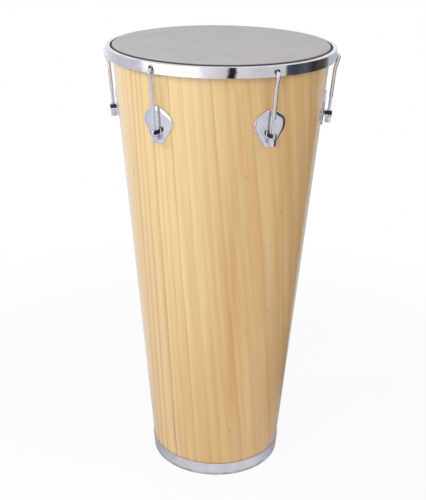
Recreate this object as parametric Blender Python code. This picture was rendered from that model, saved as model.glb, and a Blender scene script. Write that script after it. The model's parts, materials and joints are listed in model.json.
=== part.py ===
# Timbal: a tall conical hand drum, with a plastic head drawn down by a hooked counterhoop.
# Lengths are in metres, +Z is up, and the origin is the centre of the drum's foot.
# The drum is built at azimuth 0, which faces -Y, and its six tuning stations are turned round +Z.
import bpy
import bmesh
from math import atan2, copysign, cos, pi, radians, sin, sqrt
from mathutils import Matrix, Vector

# Shell: a cone of plywood, with a round-over outside its bearing edge and a bevel inside
SHELL_HEIGHT = 0.7567
SHELL_TOP_RADIUS = 0.1774
SHELL_BASE_RADIUS = 0.1148
SHELL_WALL = 0.0065
EDGE_ROUND = 0.0030
EDGE_FLAT = 0.0006

# Metal band round the foot, turned in under the shell
BAND_HEIGHT = 0.0257
BAND_SHEET = 0.0012
FOOT_WIDTH = 0.0075

# Head: film with a collar and a thick bead, held in a channel that is the flesh hoop
FILM = 0.0005
BEAD_HEIGHT = 0.0020
FLESH_GAP = 0.0004
FLESH_WIDTH = 0.0056
FLESH_HEIGHT = 0.0053
FLESH_SHEET = 0.0011

# Counterhoop: a band with a flange turned in over the flesh hoop
HEAD_RISE = 0.0026
HOOP_SHEET = 0.0023
FLANGE_GAP = 0.0011
HOOP_CORNER = 0.0028
FLANGE_EASE = 0.0006
HOOK_HOLE = 0.0095
HOLE_LAND = 0.0024

# Tuning stations, round the drum
STATION_COUNT = 6
STATION_PHASE = radians(26.3)
STATION_DROP = 0.1012

# Hooks: round rod, bent out through the counterhoop, down past it and back towards the shell
ROD_DIAMETER = 0.0060
THREAD_DIAMETER = 0.0056
THREAD_ABOVE_EAR = 0.0250
ROD_STANDOFF = 0.0108
BEND_INSIDE = 0.0014
HOOK_SEAT = 0.0005
HOOK_TIP = 0.0045
GOOSENECK = 0.0220
ROD_IN_NUT = 0.0090
END_CHAMFER = 0.0008
END_SHARE = 0.75

# Lugs: a dished plate, an ear that takes the hook's thread, and two studs through the shell
LUG_HEIGHT = 0.0605
LUG_WIDTH = 0.0520
LUG_TAPER_SHARE = 0.30
LUG_SQUARENESS = 2.4
LUG_DEPTH = 0.0030
LUG_SHEET = 0.0016
LUG_RIM_SHARE = 0.94
EAR_DROP = 0.0070
EAR_THICKNESS = 0.0062
EAR_WALL = 0.0021
EAR_CLEARANCE = 0.0005
STUD_DIAMETER = 0.0050
STUD_CLEARANCE = 0.0003
STUD_SPACING = 0.0320
STUD_SPARE = 0.0012

# Crown of a lug's plate: shares of its half width, and of its depth there
CROWN_SECTION = [(0.42, 1.0), (0.84, 0.94), (0.96, 0.72)]

# Nuts and washers
TUNING_NUT_ACROSS = 0.0100
TUNING_NUT_HEIGHT = 0.0100
STUD_NUT_ACROSS = 0.0080
STUD_NUT_HEIGHT = 0.0040
WASHER_DIAMETER = 0.0120
WASHER_THICKNESS = 0.0010

# Gap kept between faces that touch on the real drum
CLEARANCE = 0.0003

# Facets, and the turn past which an edge stays sharp
SHARP_ANGLE = radians(35)
RING_STEPS = 66
ARC_STEPS = 3
PLATE_STEPS = 28
BEND_STEPS = 5
GOOSENECK_STEPS = 7
ROUND_SIDES = 12
SMALL_SIDES = 10

# Heights, from the foot up
SHELL_BOTTOM = BAND_SHEET + CLEARANCE
SHELL_TOP = SHELL_BOTTOM + SHELL_HEIGHT
HEAD_TOP = SHELL_TOP + CLEARANCE + FILM
HOOP_TOP = HEAD_TOP - HEAD_RISE
FLESH_TOP = HOOP_TOP - HOOP_SHEET - CLEARANCE
FLESH_BOTTOM = FLESH_TOP - FLESH_HEIGHT
HOOK_LEVEL = FLESH_BOTTOM - CLEARANCE - ROD_DIAMETER / 2

# Slope of the shell's wall
WALL_RISE = SHELL_HEIGHT - EDGE_ROUND
WALL_ANGLE = atan2(SHELL_TOP_RADIUS - SHELL_BASE_RADIUS, WALL_RISE)
WALL_ACROSS = SHELL_WALL / cos(WALL_ANGLE)

# Radii of the rings round the head
COLLAR_INNER = SHELL_TOP_RADIUS + CLEARANCE
COLLAR_OUTER = COLLAR_INNER + FILM
FLESH_INNER = COLLAR_OUTER + FLESH_GAP
FLESH_OUTER = FLESH_INNER + FLESH_WIDTH
HOOP_INNER = FLESH_OUTER + CLEARANCE
HOOP_OUTER = HOOP_INNER + HOOP_SHEET

# The hook bears on the lower edge of its hole, on the inside of its bend
BEND_RADIUS = BEND_INSIDE + ROD_DIAMETER / 2
SEAT_OFFSET = (BEND_INSIDE - HOOK_SEAT) / sqrt(2)
BEND_CENTRE = Vector((HOOP_OUTER - SEAT_OFFSET, HOOK_LEVEL - BEND_RADIUS))
HOLE_BOTTOM = BEND_CENTRE.y + SEAT_OFFSET
HOOP_BOTTOM = HOLE_BOTTOM - HOLE_LAND

# Centre of each lug, on the shell's outer wall
STATION_HEIGHT = HEAD_TOP - STATION_DROP


def wall_radius(z):
    # Outer radius of the shell at a height
    share = (z - SHELL_BOTTOM) / WALL_RISE
    return SHELL_BASE_RADIUS + (SHELL_TOP_RADIUS - SHELL_BASE_RADIUS) * share


STATION_RADIUS = wall_radius(STATION_HEIGHT)

# A station's own frame: X runs round the drum, -Y out of the wall and Z up along the wall
STATION_FRAME = Matrix.Translation((0, -STATION_RADIUS, STATION_HEIGHT)) @ Matrix.Rotation(WALL_ANGLE, 4, "X")
EAR_BORE = THREAD_DIAMETER / 2 + EAR_CLEARANCE
EAR_BOTTOM = -EAR_DROP - EAR_THICKNESS
NUT_TOP = EAR_BOTTOM - CLEARANCE

# Turns a piece that stands on Z so that its top faces out of the wall
OUTWARD = Matrix.Rotation(pi / 2, 4, "X")


def arc(centre, radius, start, end, steps):
    # Points round a centre, from one angle to another
    angles = [start + (end - start) * i / steps for i in range(steps + 1)]
    return [(centre[0] + radius * cos(a), centre[1] + radius * sin(a)) for a in angles]


def make_material(name, colour, roughness, metallic):
    material = bpy.data.materials.new(name)
    material.use_nodes = True
    shader = material.node_tree.nodes["Principled BSDF"]
    shader.inputs["Base Color"].default_value = (*colour, 1.0)
    shader.inputs["Roughness"].default_value = roughness
    shader.inputs["Metallic"].default_value = metallic
    return material


def make_object(name, mesh, material=None, parent=None):
    node = bpy.data.objects.new(name, mesh)
    bpy.context.scene.collection.objects.link(node)
    node.parent = parent
    if material and not mesh.materials:
        mesh.materials.append(material)
    return node


def finish_mesh(bm, name):
    bmesh.ops.remove_doubles(bm, verts=bm.verts, dist=0.00001)
    bmesh.ops.recalc_face_normals(bm, faces=bm.faces)
    mesh = bpy.data.meshes.new(name)
    bm.to_mesh(mesh)
    bm.free()
    mesh.shade_smooth()
    mesh.set_sharp_from_angle(angle=SHARP_ANGLE)
    return mesh


def revolve(name, profile):
    # A closed profile of (radius, height) points, turned round Z from the first station on
    bm = bmesh.new()
    turn = Matrix.Rotation(STATION_PHASE, 3, "Z")
    verts = [bm.verts.new(turn @ Vector((0, -r, z))) for r, z in profile]
    edges = [bm.edges.new((a, b)) for a, b in zip(verts, verts[1:] + verts[:1])]
    bmesh.ops.spin(bm, geom=verts + edges, cent=(0, 0, 0), axis=(0, 0, 1),
                   angle=2 * pi, steps=RING_STEPS, use_merge=True)
    return finish_mesh(bm, name)


def prism(name, radius, sides, bottom, top):
    # A straight bar round Z, with a flat side towards -Y where its sides are even in number
    bm = bmesh.new()
    bmesh.ops.create_cone(bm, cap_ends=True, segments=sides, radius1=radius, radius2=radius, depth=top - bottom)
    bmesh.ops.translate(bm, verts=bm.verts, vec=(0, 0, (top + bottom) / 2))
    bmesh.ops.rotate(bm, verts=bm.verts, matrix=Matrix.Rotation(pi / sides, 3, "Z"))
    return finish_mesh(bm, name)


def combine(mesh, tools, operation):
    # The mesh joined with, or cut by, each of the tools in turn
    node = make_object(mesh.name, mesh)
    others = [make_object(tool.name, tool) for tool in tools]
    for other in others:
        step = node.modifiers.new(operation.title(), "BOOLEAN")
        step.operation = operation
        step.object = other
    result = bpy.data.meshes.new_from_object(node.evaluated_get(bpy.context.evaluated_depsgraph_get()))
    for item in [node, *others]:
        bpy.data.objects.remove(item)
    bm = bmesh.new()
    bm.from_mesh(result)
    bmesh.ops.dissolve_limit(bm, angle_limit=radians(0.2), verts=bm.verts, edges=bm.edges)
    return finish_mesh(bm, mesh.name)


def placed(mesh, matrix):
    # The mesh moved by a matrix
    mesh.transform(matrix)
    return mesh


def station_turn(index):
    return Matrix.Rotation(STATION_PHASE + 2 * pi * index / STATION_COUNT, 4, "Z")


def stud_heights():
    return [STUD_SPACING / 2, -STUD_SPACING / 2]


def shell_mesh():
    inner_top = SHELL_TOP_RADIUS - WALL_ACROSS
    bevel = WALL_ACROSS - EDGE_ROUND - EDGE_FLAT
    centre = (SHELL_TOP_RADIUS - EDGE_ROUND, SHELL_TOP - EDGE_ROUND)
    profile = [(SHELL_BASE_RADIUS, SHELL_BOTTOM)]
    profile += arc(centre, EDGE_ROUND, 0, pi / 2, ARC_STEPS)
    profile += [(inner_top + bevel, SHELL_TOP), (inner_top, SHELL_TOP - bevel)]
    profile += [(SHELL_BASE_RADIUS - WALL_ACROSS, SHELL_BOTTOM)]
    bore = STUD_DIAMETER / 2 + STUD_CLEARANCE
    drills = []
    for index in range(STATION_COUNT):
        for height in stud_heights():
            drill = prism("stud_drill", bore, SMALL_SIDES, -2 * SHELL_WALL, 2 * SHELL_WALL)
            place = STATION_FRAME @ Matrix.Translation((0, 0, height)) @ OUTWARD
            drills.append(placed(drill, station_turn(index) @ place))
    return combine(revolve("shell", profile), drills, "DIFFERENCE")


def band_mesh():
    inside = CLEARANCE / cos(WALL_ANGLE)
    outside = inside + BAND_SHEET / cos(WALL_ANGLE)
    foot = wall_radius(0) + outside
    rim = wall_radius(BAND_HEIGHT)
    profile = [(foot - FOOT_WIDTH, BAND_SHEET), (foot - FOOT_WIDTH, 0)]
    profile += arc((foot - BAND_SHEET, BAND_SHEET), BAND_SHEET, -pi / 2, 0, 2)
    profile += [(rim + outside, BAND_HEIGHT), (rim + inside, BAND_HEIGHT)]
    profile += [(wall_radius(BAND_SHEET) + inside, BAND_SHEET)]
    return revolve("bottom_band", profile)


def film_mesh():
    centre = (SHELL_TOP_RADIUS - EDGE_ROUND, SHELL_TOP - EDGE_ROUND)
    under = EDGE_ROUND + CLEARANCE
    bead_in = FLESH_INNER + FLESH_SHEET + CLEARANCE
    bead_out = FLESH_OUTER - FLESH_SHEET - CLEARANCE
    bead_bottom = FLESH_BOTTOM + FLESH_SHEET + CLEARANCE
    bead_top = bead_bottom + BEAD_HEIGHT
    profile = [(0, HEAD_TOP)]
    profile += arc(centre, under + FILM, pi / 2, 0, ARC_STEPS)
    profile += [(COLLAR_OUTER, bead_top), (bead_out, bead_top), (bead_out, bead_bottom)]
    profile += [(bead_in, bead_bottom), (bead_in, bead_top - FILM), (COLLAR_INNER, bead_top - FILM)]
    profile += arc(centre, under, 0, pi / 2, ARC_STEPS)
    profile += [(0, SHELL_TOP + CLEARANCE)]
    return revolve("head_film", profile)


def flesh_hoop_mesh():
    floor = FLESH_BOTTOM + FLESH_SHEET
    lip = floor + BEAD_HEIGHT - FILM
    profile = [(FLESH_INNER, FLESH_BOTTOM), (FLESH_OUTER, FLESH_BOTTOM), (FLESH_OUTER, FLESH_TOP)]
    profile += [(FLESH_OUTER - FLESH_SHEET, FLESH_TOP), (FLESH_OUTER - FLESH_SHEET, floor)]
    profile += [(FLESH_INNER + FLESH_SHEET, floor), (FLESH_INNER + FLESH_SHEET, lip), (FLESH_INNER, lip)]
    return revolve("flesh_hoop", profile)


def counterhoop_mesh():
    lip = COLLAR_OUTER + FLANGE_GAP
    profile = [(HOOP_INNER, HOOP_BOTTOM), (HOOP_OUTER, HOOP_BOTTOM)]
    profile += arc((HOOP_OUTER - HOOP_CORNER, HOOP_TOP - HOOP_CORNER), HOOP_CORNER, 0, pi / 2, ARC_STEPS)
    profile += [(lip + FLANGE_EASE, HOOP_TOP), (lip, HOOP_TOP - FLANGE_EASE)]
    profile += [(lip, HOOP_TOP - HOOP_SHEET), (HOOP_INNER, HOOP_TOP - HOOP_SHEET)]
    drills = []
    for index in range(STATION_COUNT):
        drill = prism("hook_drill", HOOK_HOLE / 2, 2 * ROUND_SIDES, -2 * HOOP_SHEET, 2 * HOOP_SHEET)
        centre = Vector((0, -HOOP_OUTER, HOLE_BOTTOM + HOOK_HOLE / 2))
        drills.append(placed(drill, station_turn(index) @ Matrix.Translation(centre) @ OUTWARD))
    return combine(revolve("counterhoop", profile), drills, "DIFFERENCE")


def plate_outline():
    # The lug's outline about its centre: broad shoulders, and a narrow round foot
    angles = [2 * pi * (i + 0.5) / PLATE_STEPS for i in range(PLATE_STEPS)]
    swell = [sqrt(1 - abs(cos(a)) ** LUG_SQUARENESS) * (1 + LUG_TAPER_SHARE * cos(a)) for a in angles]
    half = LUG_WIDTH / 2 / max(swell)
    return [(copysign(half * s, sin(a)), LUG_HEIGHT / 2 * cos(a)) for s, a in zip(swell, angles)]


def on_wall(side, along, depth):
    # A point in the station's frame: so far round the shell, up along its wall and out of it
    turn = Matrix.Rotation(side / STATION_RADIUS, 4, "Z")
    out = STATION_RADIUS + along * sin(WALL_ANGLE) + depth * cos(WALL_ANGLE)
    up = STATION_HEIGHT + along * cos(WALL_ANGLE) - depth * sin(WALL_ANGLE)
    return STATION_FRAME.inverted() @ turn @ Vector((0, -out, up))


def plate_mesh():
    # Rings from the middle of the front, over the turned edge, to the middle of the hollow back
    rings = [(share, LUG_DEPTH * depth) for share, depth in CROWN_SECTION]
    rings += [(1.0, CLEARANCE), (LUG_RIM_SHARE, CLEARANCE)]
    rings += [(CROWN_SECTION[1][0], LUG_DEPTH * CROWN_SECTION[1][1] - LUG_SHEET)]
    bm = bmesh.new()
    loops = []
    for share, depth in rings:
        verts = [bm.verts.new(on_wall(x * share, y * share, depth)) for x, y in plate_outline()]
        loops.append([bm.edges.new((a, b)) for a, b in zip(verts, verts[1:] + verts[:1])])
    for one, two in zip(loops, loops[1:]):
        bmesh.ops.bridge_loops(bm, edges=one + two)
    bmesh.ops.contextual_create(bm, geom=loops[0])
    bmesh.ops.contextual_create(bm, geom=loops[-1])
    bmesh.ops.triangulate(bm, faces=[f for f in bm.faces if len(f.verts) > 4])
    return finish_mesh(bm, "lug")


def ear_mesh():
    # The ear: its outline runs from inside the plate to a round end about the rod, and is drawn down
    root = -(LUG_DEPTH - LUG_SHEET / 2)
    half = EAR_BORE + EAR_WALL
    outline = [(half, root)]
    outline += arc((0, -ROD_STANDOFF), half, 0, -pi, ROUND_SIDES // 2)
    outline += [(-half, root)]
    bm = bmesh.new()
    face = bm.faces.new([bm.verts.new((x, y, -EAR_DROP)) for x, y in outline])
    grown = bmesh.ops.extrude_face_region(bm, geom=[face])
    low = [item for item in grown["geom"] if isinstance(item, bmesh.types.BMVert)]
    bmesh.ops.translate(bm, verts=low, vec=(0, 0, -EAR_THICKNESS))
    return finish_mesh(bm, "ear")


def stud_mesh(height):
    # A stud welded to the back of the plate, through the shell, its washer and its nut
    inner = -(SHELL_WALL + washer_seat() + WASHER_THICKNESS + CLEARANCE + STUD_NUT_HEIGHT + STUD_SPARE)
    stud = prism("stud", STUD_DIAMETER / 2, SMALL_SIDES, inner, LUG_DEPTH - LUG_SHEET / 2)
    return placed(stud, Matrix.Translation((0, 0, height)) @ OUTWARD)


def washer_seat():
    # A flat washer inside the round shell touches it at its edges, so its middle stands clear
    inner_radius = STATION_RADIUS - WALL_ACROSS
    return CLEARANCE + (WASHER_DIAMETER / 2) ** 2 / (2 * inner_radius)


def lug_mesh():
    bore = prism("ear_drill", EAR_BORE, ROUND_SIDES, 2 * EAR_BOTTOM, EAR_THICKNESS)
    ear = combine(ear_mesh(), [placed(bore, Matrix.Translation((0, -ROD_STANDOFF, 0)))], "DIFFERENCE")
    return combine(plate_mesh(), [ear] + [stud_mesh(h) for h in stud_heights()], "UNION")


def rod_line(z):
    # Distance of the rod's axis from the drum's axis, at a height
    rise = z - STATION_HEIGHT + ROD_STANDOFF * sin(WALL_ANGLE)
    return STATION_RADIUS + ROD_STANDOFF * cos(WALL_ANGLE) + rise * sin(WALL_ANGLE) / cos(WALL_ANGLE)


def hook_path():
    # The hook's centre line as (distance from the drum's axis, height), from its tip to its thread
    path = [(HOOP_INNER - HOOK_TIP, HOOK_LEVEL)]
    path += arc(BEND_CENTRE, BEND_RADIUS, pi / 2, 0, BEND_STEPS)
    bulge, top = path[-1]
    for i in range(1, GOOSENECK_STEPS + 1):
        share = i / GOOSENECK_STEPS
        z = top - GOOSENECK * share
        ease = 1 - share * share * (3 - 2 * share)
        path.append((rod_line(z) + (bulge - rod_line(top)) * ease, z))
    return path


def hook_curve():
    # The path in the rod's own frame, where the thread runs along Z
    frame = Matrix.Translation((0, ROD_STANDOFF, 0)) @ STATION_FRAME.inverted()
    points = [frame @ Vector((0, -r, z)) for r, z in hook_path()]
    sizes = [1.0] * len(points)
    thin = THREAD_DIAMETER / ROD_DIAMETER
    thread_top = THREAD_ABOVE_EAR - EAR_DROP
    thread_end = NUT_TOP - ROD_IN_NUT
    tip = points[0]
    inward = (points[1] - tip).normalized() * END_CHAMFER
    points[:1] = [tip, tip + inward]
    sizes[:1] = [END_SHARE, 1.0]
    points += [Vector((0, 0, thread_top + END_CHAMFER)), Vector((0, 0, thread_top))]
    sizes += [1.0, thin]
    points += [Vector((0, 0, thread_end + END_CHAMFER)), Vector((0, 0, thread_end))]
    sizes += [thin, thin * END_SHARE]
    curve = bpy.data.curves.new("hook", "CURVE")
    curve.dimensions = "3D"
    curve.bevel_depth = ROD_DIAMETER / 2
    curve.bevel_resolution = 3
    curve.use_fill_caps = True
    spline = curve.splines.new("POLY")
    spline.points.add(len(points) - 1)
    for target, point, size in zip(spline.points, points, sizes):
        target.co = (*point, 1.0)
        target.radius = size
    return curve


def hook_mesh():
    # The swept rod as a mesh that every station shares
    node = make_object("hook", hook_curve())
    result = bpy.data.meshes.new_from_object(node.evaluated_get(bpy.context.evaluated_depsgraph_get()))
    bpy.data.objects.remove(node)
    bm = bmesh.new()
    bm.from_mesh(result)
    return finish_mesh(bm, "hook")


def nut_mesh(name, across, bore, height):
    # A hexagon nut below its seat at the origin
    body = prism(name, across / 2 / cos(pi / 6), 6, -height, 0)
    drill = prism("nut_drill", bore, ROUND_SIDES, -2 * height, height)
    return combine(body, [drill], "DIFFERENCE")


def washer_mesh():
    body = prism("washer", WASHER_DIAMETER / 2, SMALL_SIDES, -WASHER_THICKNESS, 0)
    bore = STUD_DIAMETER / 2 + STUD_CLEARANCE
    drill = prism("washer_drill", bore, SMALL_SIDES, -2 * WASHER_THICKNESS, WASHER_THICKNESS)
    return combine(body, [drill], "DIFFERENCE")


def build_drum(materials):
    base = bpy.data.objects.new("drum", None)
    bpy.context.scene.collection.objects.link(base)
    make_object("shell", shell_mesh(), materials["pine"], base)
    make_object("bottom_band", band_mesh(), materials["satin"], base)
    make_object("head_film", film_mesh(), materials["film"], base)
    make_object("flesh_hoop", flesh_hoop_mesh(), materials["satin"], base)
    make_object("counterhoop", counterhoop_mesh(), materials["chrome"], base)
    return base


def build_stations(base, materials):
    lug = lug_mesh()
    hook = hook_mesh()
    tuning_nut = nut_mesh("tuning_nut", TUNING_NUT_ACROSS, THREAD_DIAMETER / 2 + CLEARANCE, TUNING_NUT_HEIGHT)
    stud_nut = nut_mesh("stud_nut", STUD_NUT_ACROSS, STUD_DIAMETER / 2 + CLEARANCE, STUD_NUT_HEIGHT)
    washer = washer_mesh()
    washer_depth = SHELL_WALL + washer_seat()
    nut_depth = washer_depth + WASHER_THICKNESS + CLEARANCE
    for index in range(STATION_COUNT):
        number = index + 1
        station = bpy.data.objects.new(f"station_{number}", None)
        bpy.context.scene.collection.objects.link(station)
        station.parent = base
        station.matrix_local = station_turn(index) @ STATION_FRAME
        make_object(f"lug_{number}", lug, materials["chrome"], station)
        rod = make_object(f"hook_{number}", hook, materials["chrome"], station)
        rod.location = (0, -ROD_STANDOFF, 0)
        nut = make_object(f"tuning_nut_{number}", tuning_nut, materials["chrome"], station)
        nut.location = (0, -ROD_STANDOFF, NUT_TOP)
        for row, height in zip(("upper", "lower"), stud_heights()):
            ring = make_object(f"stud_washer_{number}_{row}", washer, materials["zinc"], station)
            ring.matrix_local = Matrix.Translation((0, washer_depth, height)) @ OUTWARD
            end = make_object(f"stud_nut_{number}_{row}", stud_nut, materials["zinc"], station)
            end.matrix_local = Matrix.Translation((0, nut_depth, height)) @ OUTWARD


def main():
    for item in list(bpy.context.scene.objects):
        bpy.data.objects.remove(item)
    materials = {
        "pine": make_material("pine", (0.72, 0.50, 0.27), 0.35, 0.0),
        "film": make_material("head film", (0.54, 0.52, 0.51), 0.55, 0.0),
        "chrome": make_material("chrome", (0.82, 0.82, 0.84), 0.08, 1.0),
        "satin": make_material("satin aluminium", (0.62, 0.62, 0.65), 0.30, 1.0),
        "zinc": make_material("zinc plate", (0.60, 0.60, 0.58), 0.35, 1.0),
    }
    base = build_drum(materials)
    build_stations(base, materials)
    bpy.context.view_layer.update()


main()
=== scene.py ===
# Timbal drum: the looks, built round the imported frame. Lengths are in metres.
import bpy
import bmesh
import json
from bisect import bisect
from math import atan2, cos, hypot, pi, radians, sin, sqrt, tan
from mathutils import Matrix, Vector


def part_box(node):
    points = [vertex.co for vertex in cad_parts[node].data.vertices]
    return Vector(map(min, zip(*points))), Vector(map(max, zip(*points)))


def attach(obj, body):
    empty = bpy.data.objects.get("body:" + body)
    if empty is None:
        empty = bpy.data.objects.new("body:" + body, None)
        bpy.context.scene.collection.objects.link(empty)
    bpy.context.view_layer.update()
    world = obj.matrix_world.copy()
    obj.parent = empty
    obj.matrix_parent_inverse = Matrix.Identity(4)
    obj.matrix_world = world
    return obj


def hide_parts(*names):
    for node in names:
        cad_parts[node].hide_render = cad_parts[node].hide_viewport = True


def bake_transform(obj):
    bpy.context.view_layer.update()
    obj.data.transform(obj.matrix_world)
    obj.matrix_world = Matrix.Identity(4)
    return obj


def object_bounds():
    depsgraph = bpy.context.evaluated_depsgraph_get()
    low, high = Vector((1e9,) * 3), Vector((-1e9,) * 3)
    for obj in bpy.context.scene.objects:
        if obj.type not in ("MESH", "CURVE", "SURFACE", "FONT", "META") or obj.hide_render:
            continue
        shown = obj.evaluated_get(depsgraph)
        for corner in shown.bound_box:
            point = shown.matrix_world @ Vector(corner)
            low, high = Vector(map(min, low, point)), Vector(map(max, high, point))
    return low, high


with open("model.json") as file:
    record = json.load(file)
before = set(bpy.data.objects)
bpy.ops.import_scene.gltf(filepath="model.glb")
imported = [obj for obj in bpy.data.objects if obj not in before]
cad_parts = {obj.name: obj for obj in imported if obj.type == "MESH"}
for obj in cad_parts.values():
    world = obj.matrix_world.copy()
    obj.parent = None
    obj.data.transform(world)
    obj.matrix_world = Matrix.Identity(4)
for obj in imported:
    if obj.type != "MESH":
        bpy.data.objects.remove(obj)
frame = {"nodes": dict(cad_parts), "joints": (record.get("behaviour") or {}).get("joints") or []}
scene = bpy.context.scene
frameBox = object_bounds()
joints = {joint["name"]: joint for joint in frame["joints"]}
stationCount = sum(name.startswith("nut_") for name in joints)
print("frame:", len(frame["nodes"]), "nodes,", stationCount, "stations")

# Camera, where the photograph was taken from
camera = {"place": (0.0, -1.5223, 1.0257), "turn": (1.1777, -0.0121, 0.0110), "lens": 67.02}
cameraData = bpy.data.cameras.new("camera")
cameraData.lens = camera["lens"]
cameraData.sensor_width = 36
cameraObject = bpy.data.objects.new("camera", cameraData)
cameraObject.location = camera["place"]
cameraObject.rotation_euler = camera["turn"]
scene.collection.objects.link(cameraObject)
scene.camera = cameraObject
print("camera set")


# Nodes for materials, made in the node tree that is in work
work = {}


def newNode(kind):
    return work["tree"].nodes.new("ShaderNode" + kind)


def feed(socket, value):
    if isinstance(value, bpy.types.NodeSocket):
        work["tree"].links.new(value, socket)
    else:
        socket.default_value = value


def setInputs(node, **values):
    # Inputs of a node by name, with _ for a space
    for label, value in values.items():
        feed(node.inputs[label.replace("_", " ")], value)


def maths(operation, *values):
    node = newNode("Math")
    node.operation = operation
    for socket, value in zip(node.inputs, values):
        feed(socket, value)
    return node.outputs[0]


def add(a, b):
    return maths("ADD", a, b)


def take(a, b):
    return maths("SUBTRACT", a, b)


def times(a, b):
    return maths("MULTIPLY", a, b)


def between(value, low, high, outLow=0.0, outHigh=1.0, smooth=True):
    # value from low to high, mapped to the range given and held there past its ends
    node = newNode("MapRange")
    node.interpolation_type = "SMOOTHSTEP" if smooth else "LINEAR"
    for socket, item in zip(node.inputs, (value, low, high, outLow, outHigh)):
        feed(socket, item)
    return node.outputs[0]


def vector(x, y, z=0.0):
    node = newNode("CombineXYZ")
    for socket, value in zip(node.inputs, (x, y, z)):
        feed(socket, value)
    return node.outputs[0]


def parts(place):
    node = newNode("SeparateXYZ")
    feed(node.inputs[0], place)
    return node.outputs


def fromAxis(x, y):
    return maths("SQRT", add(times(x, x), times(y, y)))


def azimuth(x, y):
    # Angle round the drum, from the camera's side towards +X
    return maths("ARCTAN2", x, times(y, -1.0))


def scaled(place, size):
    node = newNode("Mapping")
    setInputs(node, Vector=place, Scale=size)
    return node.outputs[0]


def noise(place, scale, detail=2.0, roughness=0.5, distortion=0.0):
    node = newNode("TexNoise")
    setInputs(node, Vector=place, Scale=scale, Detail=detail, Roughness=roughness, Distortion=distortion)
    return node.outputs["Fac"]


def mixed(share, one, two, blend="MIX"):
    node = newNode("Mix")
    node.data_type = "RGBA"
    node.blend_type = blend
    setInputs(node, Factor=share, A=one, B=two)
    return next(output for output in node.outputs if output.type == "RGBA")


def shaded(colour, amount):
    return mixed(1.0, colour, vector(amount, amount, amount), "MULTIPLY")


def ramp(value, stops):
    # stops are (place, colour) or (place, grey), from 0 to 1
    node = newNode("ValToRGB")
    feed(node.inputs[0], value)
    elements = node.color_ramp.elements
    while len(elements) < len(stops):
        elements.new(0.5)
    for element, (place, tone) in zip(elements, sorted(stops, key=lambda stop: stop[0])):
        element.position = place
        element.color = tone if hasattr(tone, "__len__") else (tone, tone, tone, 1)
    return node.outputs[0]


def bump(height, distance, strength=1.0):
    node = newNode("Bump")
    setInputs(node, Strength=strength, Distance=distance, Height=height)
    return node.outputs[0]


def paint(red, green, blue):
    # A colour as a picture gives it, from 0 to 255, made linear
    shares = [value / 255 for value in (red, green, blue)]
    return (*[s / 12.92 if s < 0.04045 else ((s + 0.055) / 1.055) ** 2.4 for s in shares], 1)


def newMaterial(name, **settings):
    material = bpy.data.materials.new(name)
    material.use_nodes = True
    work["tree"] = material.node_tree
    shader = work["tree"].nodes["Principled BSDF"]
    setInputs(shader, **settings)
    place = newNode("TexCoord").outputs["Object"]
    return material, shader, place


def newGroup(name, inputs, outputs):
    group = work["tree"] = bpy.data.node_groups.new(name, "ShaderNodeTree")
    for label, kind in inputs:
        group.interface.new_socket(label, in_out="INPUT", socket_type=kind)
    for label, kind in outputs:
        group.interface.new_socket(label, in_out="OUTPUT", socket_type=kind)
    start = group.nodes.new("NodeGroupInput").outputs
    end = group.nodes.new("NodeGroupOutput").inputs
    return group, start, end


def useGroup(group, **values):
    node = newNode("Group")
    node.node_tree = group
    setInputs(node, **values)
    return node.outputs


number = "NodeSocketFloat"
place3d = "NodeSocketVector"


# Sizes taken from the frame

def reach(node, z=None):
    # Smallest and largest distance from the drum's axis of a node's points, or of those at one height
    points = [v.co for v in frame["nodes"][node].data.vertices]
    found = [hypot(p.x, p.y) for p in points if z is None or abs(p.z - z) < 0.0002]
    return min(found), max(found)


shellLow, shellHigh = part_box("shell")
shell = {
    "edgeRound": 0.0048, "edgeFlat": 0.0006, "wall": 0.0065, "footEase": 0.0004, "steps": 216,
    # heights of the rings of points between the foot and the bearing edge
    "rings": (0.25, 0.50, 0.618, 0.698),
    # painted shade on the wood, for the shadow under the hoop: it starts so far above the hoop's lower edge,
    # and fades in over so much
    "paintedShadeAbove": 0.0025, "paintedShadeFade": 0.0020,
}
baseInside, baseRadius = reach("shell", shellLow.z)
topRadius = reach("shell")[1]
slopeTop = shellHigh.z - shell["edgeRound"]
wallAngle = atan2(topRadius - baseRadius, slopeTop - shellLow.z)
wallSlope = tan(wallAngle)
apexHeight = shellLow.z - baseRadius / wallSlope
wallAcross = shell["wall"] / cos(wallAngle)
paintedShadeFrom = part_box("counterhoop")[0].z + shell["paintedShadeAbove"]
paintedShadeTo = paintedShadeFrom + shell["paintedShadeFade"]


def wallRadius(z):
    return (z - apexHeight) * wallSlope


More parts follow.
